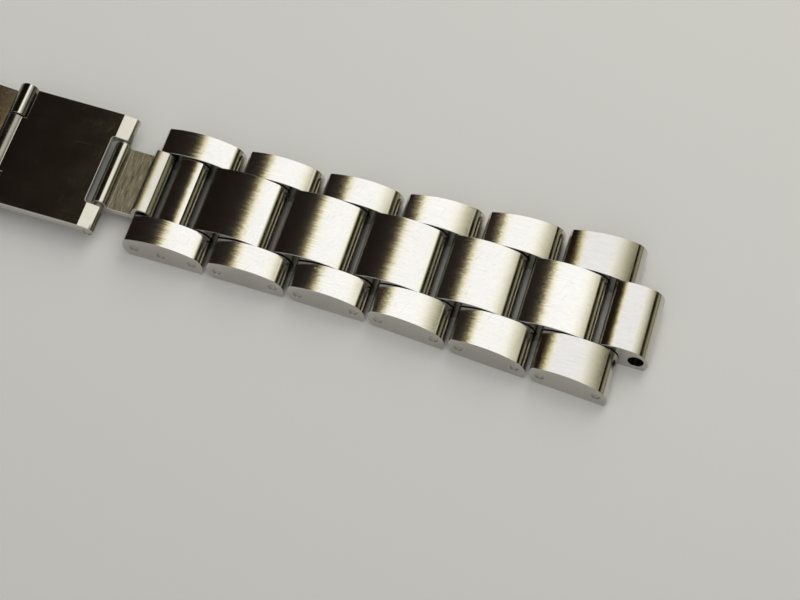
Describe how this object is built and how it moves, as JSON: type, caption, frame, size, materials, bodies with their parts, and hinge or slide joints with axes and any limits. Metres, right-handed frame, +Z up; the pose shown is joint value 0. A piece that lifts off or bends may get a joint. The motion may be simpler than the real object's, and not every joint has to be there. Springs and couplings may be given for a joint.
{
  "type": "watch bracelet",
  "caption": "Steel watch bracelet of domed outer and centre links on hinge pins, tapering from the watch to a double folding clasp that lies open and flat.",
  "frame": {"origin": "middle of the clasp base, on the surface that the open bracelet lies on", "axes": "+X along the bracelet towards the half that was pictured, +Y across it towards the far side of the picture, +Z up out of the links' domed tops"},
  "size_m": [0.1692, 0.018, 0.0039],
  "materials": {
    "link_steel": "tops brushed lengthwise, rounded ends and side faces polished",
    "blade_steel": "flat brushed crosswise, rolls polished",
    "clasp_steel": "fine satin with a few hairline scratches",
    "pin_steel": "polished pin ends"
  },
  "bodies": {
    "base": {"clasp_base": "clasp_steel", "base_pins": "pin_steel"},
    "leaf_arm_a": {"leaf_a": "clasp_steel", "leaf_pin_a": "pin_steel"},
    "blade_a": {"coupling_a": "blade_steel"},
    "link_a1": {"outer_far_a1": "link_steel", "outer_near_a1": "link_steel", "pins_a1": "pin_steel", "centre_a0": "link_steel"},
    "link_a2": {"outer_far_a2": "link_steel", "outer_near_a2": "link_steel", "pins_a2": "pin_steel", "centre_a1": "link_steel"},
    "link_a3": {"outer_far_a3": "link_steel", "outer_near_a3": "link_steel", "pins_a3": "pin_steel", "centre_a2": "link_steel"},
    "link_a4": {"outer_far_a4": "link_steel", "outer_near_a4": "link_steel", "pins_a4": "pin_steel", "centre_a3": "link_steel"},
    "link_a5": {"outer_far_a5": "link_steel", "outer_near_a5": "link_steel", "pins_a5": "pin_steel", "centre_a4": "link_steel"},
    "link_a6": {"outer_far_a6": "link_steel", "outer_near_a6": "link_steel", "pins_a6": "pin_steel", "centre_a5": "link_steel"},
    "end_a": {"end_piece_a": "link_steel"},
    "leaf_arm_b": {"leaf_b": "clasp_steel", "leaf_pin_b": "pin_steel"},
    "blade_b": {"coupling_b": "blade_steel"},
    "link_b1": {"outer_far_b1": "link_steel", "outer_near_b1": "link_steel", "pins_b1": "pin_steel", "centre_b0": "link_steel"},
    "link_b2": {"outer_far_b2": "link_steel", "outer_near_b2": "link_steel", "pins_b2": "pin_steel", "centre_b1": "link_steel"},
    "link_b3": {"outer_far_b3": "link_steel", "outer_near_b3": "link_steel", "pins_b3": "pin_steel", "centre_b2": "link_steel"},
    "link_b4": {"outer_far_b4": "link_steel", "outer_near_b4": "link_steel", "pins_b4": "pin_steel", "centre_b3": "link_steel"},
    "link_b5": {"outer_far_b5": "link_steel", "outer_near_b5": "link_steel", "pins_b5": "pin_steel", "centre_b4": "link_steel"},
    "link_b6": {"outer_far_b6": "link_steel", "outer_near_b6": "link_steel", "pins_b6": "pin_steel", "centre_b5": "link_steel"},
    "end_b": {"end_piece_b": "link_steel"}
  },
  "joints": [
    {"name": "leaf_fold_a", "type": "hinge", "parent": "base", "child": "leaf_arm_a", "pos_m": [0.016, 0, 0.0019], "axis": [0, 1, 0], "range_deg": [-175, 0]},
    {"name": "blade_turn_a", "type": "hinge", "parent": "leaf_arm_a", "child": "blade_a", "pos_m": [0.0275, 0, 0.00186], "axis": [0, -1, 0], "range_deg": [-50, 25]},
    {"name": "clasp_link_turn_a", "type": "hinge", "parent": "blade_a", "child": "link_a1", "pos_m": [0.0324, 0, 0.0013], "axis": [0, -1, 0], "range_deg": [-124, 20]},
    {"name": "hinge_a1", "type": "hinge", "parent": "link_a1", "child": "link_a2", "pos_m": [0.03844, 0, 0.0013], "axis": [0, 1, 0], "range_deg": [-8, 28]},
    {"name": "hinge_a2", "type": "hinge", "parent": "link_a2", "child": "link_a3", "pos_m": [0.04684, 0, 0.0013], "axis": [0, 1, 0], "range_deg": [-8, 28]},
    {"name": "hinge_a3", "type": "hinge", "parent": "link_a3", "child": "link_a4", "pos_m": [0.05524, 0, 0.0013], "axis": [0, 1, 0], "range_deg": [-8, 28]},
    {"name": "hinge_a4", "type": "hinge", "parent": "link_a4", "child": "link_a5", "pos_m": [0.06364, 0, 0.0013], "axis": [0, 1, 0], "range_deg": [-8, 28]},
    {"name": "hinge_a5", "type": "hinge", "parent": "link_a5", "child": "link_a6", "pos_m": [0.07204, 0, 0.0013], "axis": [0, 1, 0], "range_deg": [-8, 28]},
    {"name": "hinge_a6", "type": "hinge", "parent": "link_a6", "child": "end_a", "pos_m": [0.08044, 0, 0.0013], "axis": [0, 1, 0], "range_deg": [-8, 28]},
    {"name": "leaf_fold_b", "type": "hinge", "parent": "base", "child": "leaf_arm_b", "pos_m": [-0.016, 0, 0.0019], "axis": [0, -1, 0], "range_deg": [-175, 0]},
    {"name": "blade_turn_b", "type": "hinge", "parent": "leaf_arm_b", "child": "blade_b", "pos_m": [-0.0275, 0, 0.00186], "axis": [0, 1, 0], "range_deg": [-50, 25]},
    {"name": "clasp_link_turn_b", "type": "hinge", "parent": "blade_b", "child": "link_b1", "pos_m": [-0.0324, 0, 0.0013], "axis": [0, 1, 0], "range_deg": [-124, 20]},
    {"name": "hinge_b1", "type": "hinge", "parent": "link_b1", "child": "link_b2", "pos_m": [-0.03844, 0, 0.0013], "axis": [0, -1, 0], "range_deg": [-8, 28]},
    {"name": "hinge_b2", "type": "hinge", "parent": "link_b2", "child": "link_b3", "pos_m": [-0.04684, 0, 0.0013], "axis": [0, -1, 0], "range_deg": [-8, 28]},
    {"name": "hinge_b3", "type": "hinge", "parent": "link_b3", "child": "link_b4", "pos_m": [-0.05524, 0, 0.0013], "axis": [0, -1, 0], "range_deg": [-8, 28]},
    {"name": "hinge_b4", "type": "hinge", "parent": "link_b4", "child": "link_b5", "pos_m": [-0.06364, 0, 0.0013], "axis": [0, -1, 0], "range_deg": [-8, 28]},
    {"name": "hinge_b5", "type": "hinge", "parent": "link_b5", "child": "link_b6", "pos_m": [-0.07204, 0, 0.0013], "axis": [0, -1, 0], "range_deg": [-8, 28]},
    {"name": "hinge_b6", "type": "hinge", "parent": "link_b6", "child": "end_b", "pos_m": [-0.08044, 0, 0.0013], "axis": [0, -1, 0], "range_deg": [-8, 28]}
  ]
}
